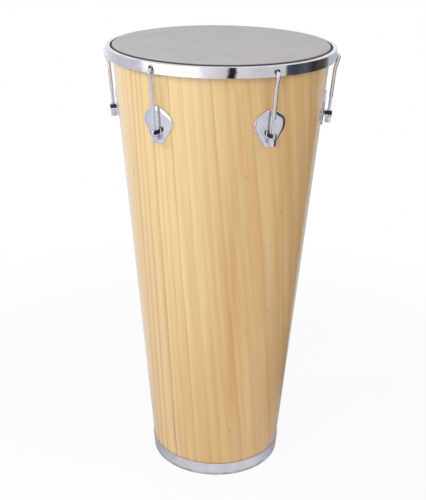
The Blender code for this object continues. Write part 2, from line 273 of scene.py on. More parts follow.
# Veneer: one flat sheet of pine wrapped on the cone, so that its grain leaves the cone's slope.
# Places on the sheet are across and along its grain, from the middle of its front.
veneer = {
    "sheetStart": radians(-82), "centreAcross": 0.180, "centreAlong": 1.770,
    "fan": 0.30, "lean": -0.0420, "leafStart": -0.165, "leafWidth": 0.370,
    "wander": 0.0012, "wanderRight": 0.016, "shiver": 0.0016,
    "lineSharpness": 3.2, "lineFall": 0.0013, "linePatches": (0.60, 1.15), "rampStops": 32,
    "fleckCut": (0.74, 0.82), "rareCut": (0.52, 0.66), "knotFlatness": 0.30,
    # waves of each noise in a metre, across and along the grain
    "waves": {"sway": (9.0, 2.6), "shiver": (60.0, 12.0), "patches": (50.0, 5.0), "tone": (75.0, 2.4),
              "fibre": (1500.0, 22.0), "flecks": (620.0, 120.0), "rare": (40.0, 25.0)},
    # where each ring's late wood ends across the sheet, and how dark it is
    "lateWood": [(-0.1410, 0.30), (-0.1290, 0.50), (-0.1106, 0.72), (-0.0977, 0.80), (-0.0944, 0.55),
                 (-0.0848, 1.00), (-0.0807, 0.50), (-0.0637, 0.85), (-0.0540, 0.30), (-0.0427, 0.62),
                 (-0.0395, 0.30), (-0.0273, 0.66), (-0.0150, 0.17), (-0.0023, 0.36), (0.0155, 0.19),
                 (0.0310, 0.14), (0.0478, 0.48), (0.0580, 0.24), (0.0753, 0.30), (0.0900, 0.14),
                 (0.1109, 0.45), (0.1206, 0.22), (0.1410, 0.26), (0.1560, 0.36), (0.1750, 0.30)],
    # pin knots: across, along, width, strength
    "pinKnots": [
        (-0.1283, 1.946, 0.0050, 0.30), (-0.0542, 1.893, 0.0016, 0.45), (0.0927, 1.946, 0.0018, 0.55),
        (0.1273, 1.812, 0.0014, 0.70), (0.1519, 1.866, 0.0020, 0.60), (0.0382, 1.791, 0.0020, 0.40),
        (0.0705, 1.667, 0.0020, 0.45), (0.1130, 1.693, 0.0022, 0.70), (0.1173, 1.683, 0.0016, 0.65),
        (0.0114, 1.646, 0.0016, 0.55), (0.0087, 1.581, 0.0018, 0.50), (0.0374, 1.557, 0.0016, 0.60),
        (0.0389, 1.538, 0.0018, 0.65), (0.0300, 1.468, 0.0020, 0.60), (0.1485, 1.597, 0.0016, 0.55),
    ],
}


def sheetGroup():
    outputs = [("Across", number), ("Along", number)]
    group, start, end = newGroup("unrolledSheet", [("Place", place3d)], outputs)
    x, y, z = parts(start["Place"])
    turned = take(azimuth(x, y), veneer["sheetStart"])
    fromApex = maths("DIVIDE", take(z, apexHeight), cos(wallAngle))
    angle = times(turned, sin(wallAngle))
    u = times(fromApex, maths("SINE", angle))
    v = times(fromApex, maths("COSINE", angle))
    down = take(veneer["centreAlong"], v)
    leaned = take(take(u, veneer["centreAcross"]), times(down, veneer["lean"]))
    fanned = maths("MULTIPLY_ADD", down, veneer["fan"], 1.0)
    feed(end["Across"], maths("DIVIDE", leaned, fanned))
    feed(end["Along"], v)
    return group


def grainNoise(kind, across, along, detail=2.0, roughness=0.5):
    perAcross, perAlong = veneer["waves"][kind]
    stretched = vector(times(across, perAcross), times(along, perAlong))
    return noise(stretched, 1.0, detail, roughness)


def grainGroup():
    # Late wood, tone, fibre and fleck of pine, from places on the flat sheet
    outputs = [(label, number) for label in ("Late Wood", "Page", "Tone", "Fibre", "Fleck")]
    group, start, end = newGroup("pineGrain", [("Across", number), ("Along", number)], outputs)
    across, along = start["Across"], start["Along"]
    # the rings wander, and more so where they stand wide apart
    sway = take(grainNoise("sway", across, along, 3.0), 0.5)
    amount = between(across, -0.10, 0.20, veneer["wander"], veneer["wanderRight"], smooth=False)
    shiver = take(grainNoise("shiver", across, along), 0.5)
    bent = add(across, times(sway, amount))
    bent = add(bent, times(shiver, veneer["shiver"]))
    # leaves of veneer are laid edge to edge like a book's pages
    page = maths("PINGPONG", take(bent, veneer["leafStart"]), veneer["leafWidth"])
    pageShare = maths("DIVIDE", page, veneer["leafWidth"])
    feed(end["Page"], pageShare)
    # a ramp holds only so many stops, so the rings take several
    stops, rings = [(0.0, 0.0)], 0.0
    fall = veneer["lineFall"] / veneer["leafWidth"]
    for edge, darkness in veneer["lateWood"]:
        if len(stops) + 2 > veneer["rampStops"]:
            rings = add(rings, ramp(pageShare, stops))
            stops = stops[-1:]
        at = (edge - veneer["leafStart"]) / veneer["leafWidth"]
        stops += [(at, darkness ** (1 / veneer["lineSharpness"])), (at + fall, 0.0)]
    rings = add(rings, ramp(pageShare, stops))
    rings = maths("POWER", rings, veneer["lineSharpness"])
    patches = between(grainNoise("patches", across, along), 0.3, 0.7, *veneer["linePatches"])
    feed(end["Late Wood"], times(rings, patches))
    feed(end["Tone"], grainNoise("tone", page, along, 3.0, 0.60))
    feed(end["Fibre"], grainNoise("fibre", across, along, 3.0, 0.6))
    flecks = between(grainNoise("flecks", across, along, 1.0), *veneer["fleckCut"])
    rare = between(grainNoise("rare", across, along, 0.0), *veneer["rareCut"])
    spots = times(flecks, rare)
    for knotAcross, knotAlong, width, strength in veneer["pinKnots"]:
        aside = take(across, knotAcross)
        above = times(take(along, knotAlong), veneer["knotFlatness"])
        spots = add(spots, between(fromAxis(aside, above), 0.0, width, strength, 0.0))
    feed(end["Fleck"], maths("MINIMUM", spots, 1.0))
    return group


def handlingGroup():
    # Faint smudges and fine scratches of a surface that has been handled
    group, start, end = newGroup("handling", [("Place", place3d)], [("Smudge", number), ("Scratch", number)])
    cloud = noise(start["Place"], 34.0, 4.0, 0.6, 0.6)
    feed(end["Smudge"], between(cloud, 0.42, 0.68))
    fine = noise(scaled(start["Place"], (90, 90, 900)), 1.0, 2.0)
    feed(end["Scratch"], between(fine, 0.60, 0.66))
    return group


unrolledSheet = sheetGroup()
pineGrain = grainGroup()
handling = handlingGroup()

pineColours = {
    "pale": paint(237, 209, 154), "warm": paint(217, 176, 120),
    "late": paint(192, 138, 78), "fleck": paint(140, 92, 46),
    "sapwoodEnd": 0.38, "heartwoodStart": 0.86, "heartLean": 0.25, "heartLevel": 2.02,
    "footShade": 0.44, "footFrom": 1.44, "footTo": 2.00,
    # the share of colour left by the painted shade under the hoop
    "lacquerRoughness": 0.12, "woodGloss": 0.15, "underHoopPaintedShade": 0.12,
}
innerColours = {
    "pale": paint(226, 198, 156), "warm": paint(212, 176, 128),
    "late": paint(186, 138, 88), "fleck": paint(140, 98, 58),
    "sapwoodEnd": 0.20, "heartwoodStart": 0.90, "heartLean": 0.39, "heartLevel": 2.02,
    "footShade": 0.0, "footFrom": 1.50, "footTo": 1.74,
    "lacquerRoughness": 0.50, "woodGloss": 0.40, "underHoopPaintedShade": 1.0,
}
# what the shell's two faces share
wood = {
    "heartShare": 0.86, "ripest": 0.84, "streaks": (-0.22, 0.42), "fibre": (0.94, 1.045),
    "fleckShare": 0.7, "roughness": (0.36, 0.50),
}


def pineMaterial(name, colours, gloss, pores):
    material, shader, place = newMaterial(
        name, Coat_Weight=gloss, Coat_Roughness=colours["lacquerRoughness"],
        Specular_IOR_Level=colours["woodGloss"])
    sheet = useGroup(unrolledSheet, Place=place)
    grain = useGroup(pineGrain, Across=sheet["Across"], Along=sheet["Along"])
    # sapwood is paler than heartwood, and both are streaky
    leaned = times(take(sheet["Along"], colours["heartLevel"]), -colours["heartLean"])
    heart = between(add(grain["Page"], leaned), colours["sapwoodEnd"], colours["heartwoodStart"])
    # the sheet also turns warmer and darker towards its foot
    foot = between(sheet["Along"], colours["footFrom"], colours["footTo"], colours["footShade"], 0.0)
    ripe = maths("MINIMUM", add(times(heart, wood["heartShare"]), foot), wood["ripest"])
    streaks = between(grain["Tone"], 0.30, 0.70, *wood["streaks"], smooth=False)
    base = mixed(add(ripe, streaks), colours["pale"], colours["warm"])
    base = mixed(maths("MINIMUM", grain["Late Wood"], 1.0), base, colours["late"])
    base = shaded(base, between(grain["Fibre"], 0.25, 0.75, *wood["fibre"], smooth=False))
    base = mixed(times(grain["Fleck"], wood["fleckShare"]), base, colours["fleck"])
    # painted shade where the hoop covers the wood, as dark as the shadow there
    underHoopShade = between(parts(place)[2], paintedShadeFrom, paintedShadeTo, 1.0, colours["underHoopPaintedShade"])
    base = shaded(base, underHoopShade)
    roughness = between(grain["Fibre"], 0.2, 0.8, *wood["roughness"])
    setInputs(shader, Base_Color=base, Roughness=roughness, Normal=bump(grain["Fibre"], pores))
    return material


plyEdge = {
    "light": paint(222, 188, 140), "dark": paint(176, 128, 82), "torn": paint(120, 84, 50),
    "pair": 0.0022, "tornShare": 0.35, "tornDepth": 0.0002,
}


def plyEdgeMaterial():
    # Edge of the plywood: thin plies seen end on, as rings
    material, shader, place = newMaterial("plyEdge", Roughness=0.62)
    x, y, z = parts(place)
    depth = take(fromAxis(x, y), times(take(z, apexHeight), wallSlope))
    plies = maths("SINE", times(depth, 2 * pi / plyEdge["pair"]))
    torn = noise(place, 900.0)
    base = mixed(between(plies, -0.4, 0.4), plyEdge["light"], plyEdge["dark"])
    base = mixed(times(torn, plyEdge["tornShare"]), base, plyEdge["torn"])
    setInputs(shader, Base_Color=base, Normal=bump(torn, plyEdge["tornDepth"]))
    return material


skin = {
    "light": paint(199, 194, 195), "deep": paint(191, 187, 188), "smudge": paint(178, 175, 172),
    "spray": paint(214, 211, 209), "rim": paint(194, 190, 183), "collar": paint(64, 60, 58),
    "rimFrom": 0.146, "rimTo": 0.172, "collarFrom": 0.0006, "collarTo": 0.0022,
    "smudgeShare": 0.10, "sprayShare": 0.12, "rimShare": 0.6, "sprayHeight": 0.00004,
    "roughness": (0.50, 0.42),
}


def headMaterial():
    # Coated film: matt, with a fine sprayed grain, faint cloudy wear, and a painted shade on its collar,
    # where it turns down into the dark gap
    material, shader, place = newMaterial("headFilm")
    marks = useGroup(handling, Place=place)
    spray = noise(place, 2600.0)
    cloud = noise(place, 9.0, 3.0, 0.5, 0.8)
    x, y, z = parts(place)
    base = mixed(between(cloud, 0.35, 0.70), skin["light"], skin["deep"])
    base = mixed(times(marks["Smudge"], skin["smudgeShare"]), base, skin["smudge"])
    base = mixed(between(spray, 0.35, 0.65, 0.0, skin["sprayShare"]), base, skin["spray"])
    rim = between(fromAxis(x, y), skin["rimFrom"], skin["rimTo"], 0.0, skin["rimShare"])
    base = mixed(rim, base, skin["rim"])
    # painted shade: the film darkens below its top, where it turns down into the shade of the gap by the
    # hoops
    below = take(frameBox[1][2], z)
    base = mixed(between(below, skin["collarFrom"], skin["collarTo"]), base, skin["collar"])
    roughness = between(marks["Smudge"], 0.0, 1.0, *skin["roughness"])
    setInputs(shader, Base_Color=base, Roughness=roughness, Normal=bump(spray, skin["sprayHeight"]))
    return material


chrome = {
    "clean": paint(226, 226, 232), "smudged": paint(216, 216, 224), "roughness": 0.045,
    "smudgeRoughness": 0.05, "scratchRoughness": 0.03, "rippleHeight": 0.00012, "rippleShare": 0.25,
}


def chromeMaterial():
    # Bright plate over polished steel, with a faint ripple and light fingerprints
    material, shader, place = newMaterial("chrome", Metallic=1.0)
    marks = useGroup(handling, Place=place)
    base = mixed(marks["Smudge"], chrome["clean"], chrome["smudged"])
    smudged = times(marks["Smudge"], chrome["smudgeRoughness"])
    wear = add(smudged, times(marks["Scratch"], chrome["scratchRoughness"]))
    ripple = bump(noise(place, 130.0, 1.0), chrome["rippleHeight"], chrome["rippleShare"])
    setInputs(shader, Base_Color=base, Roughness=add(wear, chrome["roughness"]), Normal=ripple)
    return material


satin = {
    "smudgeShare": 0.35, "brushShare": 0.18, "brushHeight": 0.00006, "smoother": 0.05, "rougher": 0.09,
    # painted shade along the foot edge: its tone, the height where it is full, the height where it ends, and
    # its patches
    "edgeShadeTone": paint(84, 84, 88), "edgeShadeFull": 0.0015, "edgeShadeEnd": 0.0085, "edgeShadePatches": (0.35, 1.0),
}


def satinMaterial(name, light, dark, roughness, brush, edgeShadeAmount=0.0):
    # Metal brushed round the drum, with smudges, and a patchy painted shade along the edge that it stands on,
    # dark as the contact shadow and the dark floor it reflects there
    material, shader, place = newMaterial(name, Metallic=1.0)
    x, y, z = parts(place)
    strokes = vector(times(azimuth(x, y), 1.4), times(z, brush))
    brushed = noise(strokes, 1.0, 3.0, 0.65)
    marks = useGroup(handling, Place=scaled(place, (1.4, 1.4, 1.4)))
    base = mixed(times(marks["Smudge"], satin["smudgeShare"]), light, dark)
    base = mixed(times(brushed, satin["brushShare"]), base, dark)
    if edgeShadeAmount:
        patches = between(noise(place, 40.0, 3.0, 0.6), 0.35, 0.62, *satin["edgeShadePatches"])
        edge = between(z, satin["edgeShadeFull"], satin["edgeShadeEnd"], edgeShadeAmount, 0.0)
        base = mixed(times(edge, patches), base, satin["edgeShadeTone"])
    rough = between(brushed, 0.2, 0.8, roughness - satin["smoother"], roughness + satin["rougher"])
    relief = bump(brushed, satin["brushHeight"], 0.6)
    setInputs(shader, Base_Color=base, Roughness=rough, Normal=relief)
    return material


zinc = {
    "pale": paint(196, 197, 194), "grey": paint(168, 170, 168), "smudge": paint(156, 154, 146),
    "roughness": (0.30, 0.42),
}


def zincMaterial():
    # Zinc plate, with a fine spangle
    material, shader, place = newMaterial("zincPlate", Metallic=1.0)
    spangle = noise(place, 700.0)
    marks = useGroup(handling, Place=place)
    base = mixed(between(spangle, 0.35, 0.65), zinc["pale"], zinc["grey"])
    base = mixed(marks["Smudge"], base, zinc["smudge"])
    setInputs(shader, Base_Color=base, Roughness=between(spangle, 0.2, 0.8, *zinc["roughness"]))
    return material


materials = {
    "pine": pineMaterial("pineVeneer", pineColours, 1.0, 0.00002),
    "inside": pineMaterial("innerPly", innerColours, 0.0, 0.00008),
    "plyEdge": plyEdgeMaterial(),
    "head": headMaterial(),
    "chrome": chromeMaterial(),
    # the band's last number is the strength of its painted edge shade
    "band": satinMaterial("satinAluminium", paint(206, 206, 213), paint(176, 176, 184), 0.26, 900.0, 0.65),
    "channel": satinMaterial("satinSteel", paint(196, 197, 200), paint(160, 161, 165), 0.30, 700.0),
    "zinc": zincMaterial(),
    "thread": satinMaterial("threadSteel", paint(228, 228, 234), paint(196, 196, 204), 0.24, 700.0),
    # painted shade: near-black metal for faces that lie in deep shade or reflect the dark gap, the ear's
    # sides and the hoop's inner faces
    "dark": satinMaterial("paintedShadeSteel", paint(58, 58, 64), paint(36, 36, 41), 0.34, 700.0),
}
print("materials made:", ", ".join(materials))


# Modelling

def arc(across, height, radius, start, end, steps):
    # Points of an arc about a centre, from one angle in degrees to another
    angles = [radians(start + (end - start) * i / steps) for i in range(steps + 1)]
    return [(across + radius * cos(a), height + radius * sin(a)) for a in angles]


def welded(bm):
    bmesh.ops.remove_doubles(bm, verts=bm.verts, dist=0.000002)
    bmesh.ops.recalc_face_normals(bm, faces=bm.faces)
    return bm


def rotation(angle, axis="Z"):
    return Matrix.Rotation(angle, 4, axis)


def turned(outline, steps, gap=0.0):
    # A closed outline of (radius, height) points spun round the drum's axis, from the back
    bm = bmesh.new()
    verts = [bm.verts.new((0, r, z)) for r, z in outline]
    if gap:
        face = bm.faces.new(verts)
        bmesh.ops.rotate(bm, verts=verts, matrix=Matrix.Rotation(gap / 2, 3, "Z"))
        bmesh.ops.spin(bm, geom=[face], cent=(0, 0, 0), axis=(0, 0, 1), angle=2 * pi - gap, steps=steps)
    else:
        edges = [bm.edges.new(pair) for pair in zip(verts, verts[1:] + verts[:1])]
        bmesh.ops.spin(bm, geom=verts + edges, cent=(0, 0, 0), axis=(0, 0, 1),
                       angle=2 * pi, steps=steps, use_merge=True)
    return welded(bm)


def bar(radius, sides, bottom, top):
    # A straight bar along Z
    bm = bmesh.new()
    bmesh.ops.create_cone(bm, cap_ends=True, segments=sides, radius1=radius, radius2=radius,
                          depth=top - bottom)
    bmesh.ops.translate(bm, verts=bm.verts, vec=(0, 0, (top + bottom) / 2))
    return bm


def threaded(radius, depth, pitch, bottom, top, sides=24, ringsPerTurn=6):
    # A bar with a screw thread cut in it: its rings are drawn in where the groove runs
    bm = bar(radius, sides, bottom, top)
    count = int((top - bottom) / pitch * ringsPerTurn)
    uprights = [e for e in bm.edges if abs(e.verts[0].co.z - e.verts[1].co.z) > (top - bottom) / 2]
    bmesh.ops.subdivide_edges(bm, edges=uprights, cuts=count)
    for v in bm.verts:
        turn = (v.co.z / pitch - atan2(v.co.y, v.co.x) / (2 * pi)) % 1.0
        groove = 1 - abs(2 * turn - 1)
        chamfer = min((v.co.z - bottom) / pitch, (top - v.co.z) / pitch, 1.0)
        size = 1 - depth / radius * max(groove, 1 - chamfer)
        v.co.x *= size
        v.co.y *= size
    return bm


def toMesh(bm, name):
    mesh = bpy.data.meshes.new(name)
    bm.to_mesh(mesh)
    bm.free()
    return mesh


def evaluated(item):
    # An object's mesh, as its modifiers or its curve make it
    mesh = bpy.data.meshes.new_from_object(item.evaluated_get(bpy.context.evaluated_depsgraph_get()))
    bm = bmesh.new()
    bm.from_mesh(mesh)
    return bm


def combined(bm, tools, operation, bevel=0.0):
    # The shape joined with, or cut by, each tool in turn, and its sharp edges eased
    body = bpy.data.objects.new("work", toMesh(bm, "work"))
    others = [bpy.data.objects.new("tool", toMesh(tool, "tool")) for tool in tools]
    for item in [body, *others]:
        scene.collection.objects.link(item)
    for other in others:
        step = body.modifiers.new("cut", "BOOLEAN")
        step.operation = operation
        step.object = other
    if bevel:
        ease = body.modifiers.new("ease", "BEVEL")
        ease.width = bevel
        ease.segments = 3
        ease.limit_method = "ANGLE"
        ease.angle_limit = radians(50)
    done = evaluated(body)
    for item in [body, *others]:
        bpy.data.objects.remove(item)
    return done


def joined(shapes):
    # Several shapes as the bodies of one piece
    whole = bmesh.new()
    for shape in shapes:
        mesh = toMesh(shape, "share")
        whole.from_mesh(mesh)
        bpy.data.meshes.remove(mesh)
    return whole


def newPiece(name, bm, finishes, node, body, sharp=32):
    mesh = toMesh(bm, name)
    for finish in finishes:
        mesh.materials.append(materials[finish])
    mesh.shade_smooth()
    mesh.set_sharp_from_angle(angle=radians(sharp))
    piece = bpy.data.objects.new(name, mesh)
    scene.collection.objects.link(piece)
    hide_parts(node)
    if body:
        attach(piece, body)
    return piece


# Shell: a cone of plywood, veneered outside, with its bearing edge rounded outside and bevelled inside
def buildShell():
    innerTop = topRadius - wallAcross
    bevelAcross = wallAcross - shell["edgeRound"] - shell["edgeFlat"]
    ease = shell["footEase"]
    outline = [(baseInside, shellLow.z), (baseRadius - ease, shellLow.z), (baseRadius, shellLow.z + ease)]
    outline += [(wallRadius(z), z) for z in shell["rings"]]
    outline += arc(topRadius - shell["edgeRound"], slopeTop, shell["edgeRound"], 0, 90, 10)
    outline += [(innerTop + bevelAcross, shellHigh.z), (innerTop, shellHigh.z - bevelAcross)]
    bm = turned(outline, shell["steps"])
    for face in bm.faces:
        middle = face.calc_center_median()
        depth = wallRadius(middle.z) - hypot(middle.x, middle.y)
        level = abs(face.normal.z) > 0.5
        face.material_index = 2 if level else (1 if depth > shell["wall"] / 2 else 0)
    newPiece("pineShell", bm, ["pine", "inside", "plyEdge"], "shell", "drum")


# Band round the foot: one strip turned in under the shell, its ends meeting at the back
band = {
    "sheet": 0.0012, "ease": 0.0004, "rimEase": 0.0002, "seam": radians(0.25), "steps": 216,
    # rings of points on the wall, as shares of the band's height
    "rings": (0.02, 0.84),
}


def buildBand():
    low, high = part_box("bottom_band")
    footInside, footFlat = reach("bottom_band", low.z)
    rimInside, rimOutside = reach("bottom_band", high.z)
    height = high.z - low.z
    footOutside = rimOutside - height * wallSlope
    sheet, ease, rimEase = band["sheet"], band["ease"], band["rimEase"]
    outline = [(footInside, low.z + ease), (footInside + ease, low.z)]
    outline += arc(footOutside - sheet, low.z + sheet, sheet, -90, 0, 6)
    rises = [height * share for share in band["rings"]]
    outline += [(footOutside + rise * wallSlope, low.z + sheet + rise) for rise in rises]
    outline += arc(rimOutside - ease, high.z - ease, ease, 0, 90, 4)
    outline += [(rimInside + rimEase, high.z), (rimInside, high.z - rimEase)]
    outline += [(footOutside - sheet, low.z + sheet), (footInside, low.z + sheet)]
    bm = turned(outline, band["steps"], band["seam"])
    newPiece("footBand", bm, ["band"], "bottom_band", "drum")


# Head: film over the bearing edge, with its collar and its bead in the flesh hoop's channel
head = {
    "film": 0.0005, "bead": 0.0020, "beadBend": 0.0006, "channel": 0.0011, "channelEase": 0.0004,
    "gap": 0.0003, "steps": 216,
    # distances from the axis of the rings of points on the flat of the head
    "rings": (0, 0.06, 0.12, 0.16),
}


def buildHead():
    low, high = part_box("head_film")
    film, gap, bend = head["film"], head["gap"], head["beadBend"]
    fleshIn, fleshOut = reach("flesh_hoop")
    centre = (topRadius - shell["edgeRound"], shellHigh.z - shell["edgeRound"])
    under = shell["edgeRound"] + gap
    beadIn, beadOut = fleshIn + head["channel"] + gap, fleshOut - head["channel"] - gap
    beadTop = low.z + head["bead"]
    outline = [(r, high.z) for r in head["rings"]]
    outline += arc(*centre, under + film, 90, 0, 12)
    outline += arc(centre[0] + under + film + bend, beadTop + bend, bend, 180, 270, 3)
    outline += [(beadOut, beadTop), (beadOut, low.z), (beadIn, low.z), (beadIn, beadTop - film)]
    outline += [(centre[0] + under, beadTop - film)] + arc(*centre, under, 0, 90, 12)
    outline += [(r, high.z - film) for r in reversed(head["rings"])]
    piece = newPiece("headSkin", turned(outline, head["steps"]), ["head"], "head_film", None)
    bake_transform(piece)


# Flesh hoop: a channel of sheet round the head's bead
def buildFleshHoop():
    low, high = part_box("flesh_hoop")
    inside, outside = reach("flesh_hoop")
    sheet, soft = head["channel"], head["channelEase"]
    lipTop = low.z + sheet + head["bead"] - head["film"]
    lip = reach("flesh_hoop", lipTop)[0]
    outline = arc(inside + soft, low.z + soft, soft, 180, 270, 3)
    outline += arc(outside - soft, low.z + soft, soft, -90, 0, 3)
    outline += arc(outside - soft, high.z - soft, soft, 0, 90, 3)
    outline += [(outside - sheet, high.z), (outside - sheet, low.z + sheet)]
    outline += [(inside + sheet, low.z + sheet), (inside + sheet, lipTop), (lip, lipTop)]
    newPiece("fleshHoop", turned(outline, shell["steps"]), ["channel"], "flesh_hoop", "hoop")


# Counterhoop: a band with a rounded shoulder and a flange turned in, and a hole for each hook
hoop = {
    "hold": 0.0002, "sheet": 0.0023, "corner": 0.0016, "ease": 0.0005, "bend": 0.0005,
    "hole": 0.0095, "holeEase": 0.0004, "drill": 0.01, "land": 0.0024, "steps": 264,
}


def buildHoop():
    low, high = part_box("counterhoop")
    lip, outside = reach("counterhoop")
    inside = outside - hoop["sheet"]
    corner, ease, sheet, bend = hoop["corner"], hoop["ease"], hoop["sheet"], hoop["bend"]
    outline = arc(inside + ease, low.z + ease, ease, 180, 270, 4)
    outline += arc(outside - ease, low.z + ease, ease, -90, 0, 4)
    outline += [(outside, low.z + ease + hoop["hold"]), (outside, high.z - corner - hoop["hold"])]
    outline += arc(outside - corner, high.z - corner, corner, 0, 90, 12)
    outline += arc(lip + sheet / 2, high.z - sheet / 2, sheet / 2, 90, 270, 8)
    outline += arc(inside - bend, high.z - sheet - bend, bend, 90, 0, 3)
    drills = []
    for index in range(stationCount):
        drill = bar(hoop["hole"] / 2, 40, -hoop["drill"], hoop["drill"])
        level = low.z + hoop["land"] + hoop["hole"] / 2
        place = Matrix.Translation((0, -outside, level)) @ rotation(pi / 2, "X")
        bmesh.ops.transform(drill, matrix=rotation(stationAngle(index)) @ place, verts=drill.verts)
        drills.append(drill)
    bm = combined(turned(outline, hoop["steps"]), drills, "DIFFERENCE", bevel=hoop["holeEase"])
    # faces of the hoop that look in towards the axis take the painted shade finish, dark as the deep shade
    # behind the hoop
    for face in bm.faces:
        middle = face.calc_center_median()
        inward = face.normal.x * middle.x + face.normal.y * middle.y < 0
        face.material_index = 1 if inward and hypot(middle.x, middle.y) < inside + 0.0002 else 0
    newPiece("chromeHoop", bm, ["chrome", "dark"], "counterhoop", "hoop", sharp=40)


# Stations: the rod's axis and the nut's seat come from each nut's joint
def stationFrame(index):
    # X runs round the drum, -Y out of the wall and Z up the rod, from the nut's seat on the rod's axis
    joint = joints[f"nut_{index + 1}_turn"]
    seat, up = Vector(joint["pos_m"]), Vector(joint["axis"]).normalized()
    out = Vector((seat.x, seat.y, 0))
    out = (out - out.dot(up) * up).normalized()
    side = up.cross(out)
    rows = [(side[i], -out[i], up[i], seat[i]) for i in range(3)]
    return Matrix((*rows, (0, 0, 0, 1)))


def stationAngle(index):
    seat = joints[f"nut_{index + 1}_turn"]["pos_m"]
    return atan2(seat[0], -seat[1])


# from the drum, turned so that its first station faces -Y, to that station's frame
stationInverse = (rotation(stationAngle(0)).inverted() @ stationFrame(0)).inverted()
seatRadius = hypot(*joints["nut_1_turn"]["pos_m"][:2])
seatHeight = joints["nut_1_turn"]["pos_m"][2]
station = {"standoff": 0.0108, "lugAboveSeat": 0.0135}


def rodRadius(z):
    # The rod's axis leans out with the wall
    return seatRadius + (z - seatHeight) * wallSlope


# Hooks: a round rod bent out through the hoop, over its edge and back towards the shell
hook = {
    "rod": 0.0060, "thread": 0.0056, "pitch": 0.0010, "threadDepth": 0.0005,
    "threadTop": 0.0315, "threadBottom": -0.0090, "intoThread": 0.0002,
    "bendInside": 0.0014, "seat": 0.0005, "tip": 0.0045, "gooseneck": 0.0220, "neckSteps": 24, "gap": 0.0003,
    # the rod's ends are turned down to these shares of its radius
    "chamfer": 0.0006, "tipShare": 0.78, "shankShare": 0.86,
}


def hookPath():
    # Centre line as (distance from the drum's axis, height), from the tip down
    hoopOutside = reach("counterhoop")[1]
    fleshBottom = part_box("flesh_hoop")[0].z
    level = fleshBottom - hook["gap"] - hook["rod"] / 2
    bend = hook["bendInside"] + hook["rod"] / 2
    setIn = (hook["bendInside"] - hook["seat"]) / sqrt(2)
    centre = (hoopOutside - setIn, level - bend)
    tip = hoopOutside - hoop["sheet"] - hook["tip"]
    path = [(tip, level), ((tip + centre[0]) / 2, level)]
    path += arc(*centre, bend, 90, 0, 12)
    bulge, top = path[-1]
    for i in range(1, hook["neckSteps"] + 1):
        share = i / hook["neckSteps"]
        z = top - hook["gooseneck"] * share
        ease = 1 - share * share * (3 - 2 * share)
        path.append((rodRadius(z) + (bulge - rodRadius(top)) * ease, z))
    return path


def rodShape():
    # The bent rod in the first station's frame, as a curve with a round section
    points = [stationInverse @ Vector((0, -r, z)) for r, z in hookPath()]
    points = [Vector((0, p.y, p.z)) for p in points]
    chamfer = hook["chamfer"]
    tip = points[0]
    points = [tip, tip + (points[1] - tip).normalized() * chamfer, *points[1:]]
    points += [Vector((0, 0, hook["threadTop"] + along)) for along in (chamfer, -hook["intoThread"])]
    curve = bpy.data.curves.new("rod", "CURVE")
    curve.dimensions = "3D"
    curve.bevel_depth = hook["rod"] / 2
    curve.bevel_resolution = 8
    curve.use_fill_caps = True
    spline = curve.splines.new("POLY")
    spline.points.add(len(points) - 1)
    for target, point in zip(spline.points, points):
        target.co = (*point, 1.0)
        target.radius = 1.0
    spline.points[0].radius = hook["tipShare"]
    spline.points[-1].radius = hook["shankShare"]
    carrier = bpy.data.objects.new("rod", curve)
    scene.collection.objects.link(carrier)
    bm = evaluated(carrier)
    bpy.data.objects.remove(carrier)
    return welded(bm)


def hookShape():
    thread = threaded(hook["thread"] / 2, hook["threadDepth"], hook["pitch"],
                      hook["threadBottom"], hook["threadTop"])
    for face in thread.faces:
        face.material_index = 1
    return joined([rodShape(), thread])


# Lugs: a crowned plate with its edge turned to the wall, an ear for the thread, and two studs
lug = {
    "height": 0.0605, "width": 0.0536, "depth": 0.0030, "sheet": 0.0016, "gap": 0.0003,
    "crownRadius": 0.0190, "sideRadius": 0.0190, "sideDrop": 0.0245, "footRadius": 0.0122,
    "steps": 96, "beltSteps": 1440,
    # rings of the crown, as shares of the outline, and the two powers of its rise
    "crownShares": (0.996, 0.988, 0.976, 0.96, 0.935, 0.90, 0.84, 0.74, 0.60, 0.42, 0.20),
    "edgePower": 8, "risePower": 0.26,
    "earDrop": 0.0040, "earThickness": 0.0092, "earBore": 0.0033, "earWall": 0.0027, "earEase": 0.0006,
    # the ear's half width at its root and past the fillet there, as shares of its round end's
    "earRoot": 1.25, "earNeck": 1.04, "earFillet": 0.0018,
    # the ear's sides take a painted shade so far down, from so far out of the plate
    "earShade": 0.0066, "earShadeFrom": 0.0008,
    "stud": 0.0050, "studSpacing": 0.0320, "studEnd": 0.0136, "studPitch": 0.0008, "studGroove": 0.0004,
}
earTop = station["lugAboveSeat"] - lug["earDrop"]


def lugOutline():
    # A belt drawn round the circles that round the lug's corners, with its points closer where it turns
    top = lug["height"] / 2
    side = lug["width"] / 2 - lug["sideRadius"]
    circles = [(0, top - lug["crownRadius"], lug["crownRadius"])]
    circles += [(0, lug["footRadius"] - top, lug["footRadius"])]
    circles += [(x, top - lug["sideDrop"], lug["sideRadius"]) for x in (-side, side)]
    belt = []
    for i in range(lug["beltSteps"] + 1):
        across, up = sin(2 * pi * i / lug["beltSteps"]), cos(2 * pi * i / lug["beltSteps"])
        x, y, radius = max(circles, key=lambda c: c[0] * across + c[1] * up + c[2])
        belt.append(Vector((x + radius * across, y + radius * up)))
    lengths = [0.0]
    for one, two in zip(belt, belt[1:]):
        lengths.append(lengths[-1] + (two - one).length)
    shares = [(i / lug["beltSteps"] + length / lengths[-1]) / 2 for i, length in enumerate(lengths)]
    outline = []
    for i in range(lug["steps"]):
        share = (i + 0.5) / lug["steps"]
        after = bisect(shares, share)
        part = (share - shares[after - 1]) / (shares[after] - shares[after - 1])
        outline.append(tuple(belt[after - 1].lerp(belt[after], part)))
    return outline


